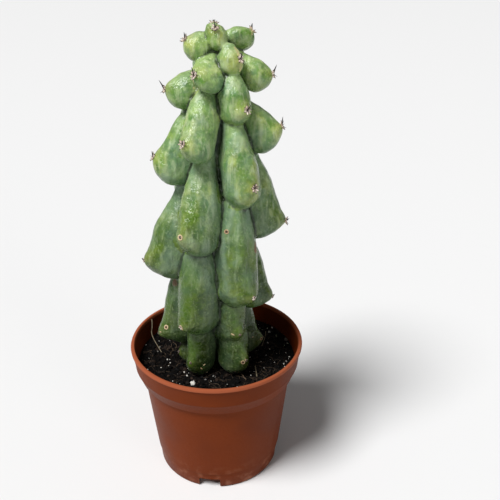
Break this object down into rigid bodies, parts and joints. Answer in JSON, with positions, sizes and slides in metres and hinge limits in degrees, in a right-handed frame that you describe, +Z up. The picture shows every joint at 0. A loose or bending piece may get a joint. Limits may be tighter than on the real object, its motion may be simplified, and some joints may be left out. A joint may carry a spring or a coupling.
{
  "type": "potted boobie cactus",
  "caption": "Six-ribbed column cactus with drooping pear-shaped lobes and short spines, standing in soil in a round plastic nursery pot.",
  "frame": {"origin": "middle of the circle that the pot stands on", "axes": "+Z up, along the pot's axis; -Y faces the viewer of the picture; +X is the viewer's right"},
  "size_m": [0.12, 0.12, 0.3076],
  "materials": {
    "pot": "satin terracotta-coloured moulded plastic with light scuffs",
    "soil": "damp peat with fine fibres and white perlite grains",
    "stem": "waxy mottled green skin with a blue-grey bloom"
  },
  "bodies": {
    "root": {"pot": "pot", "soil": "soil", "stem": "stem"}
  },
  "joints": []
}
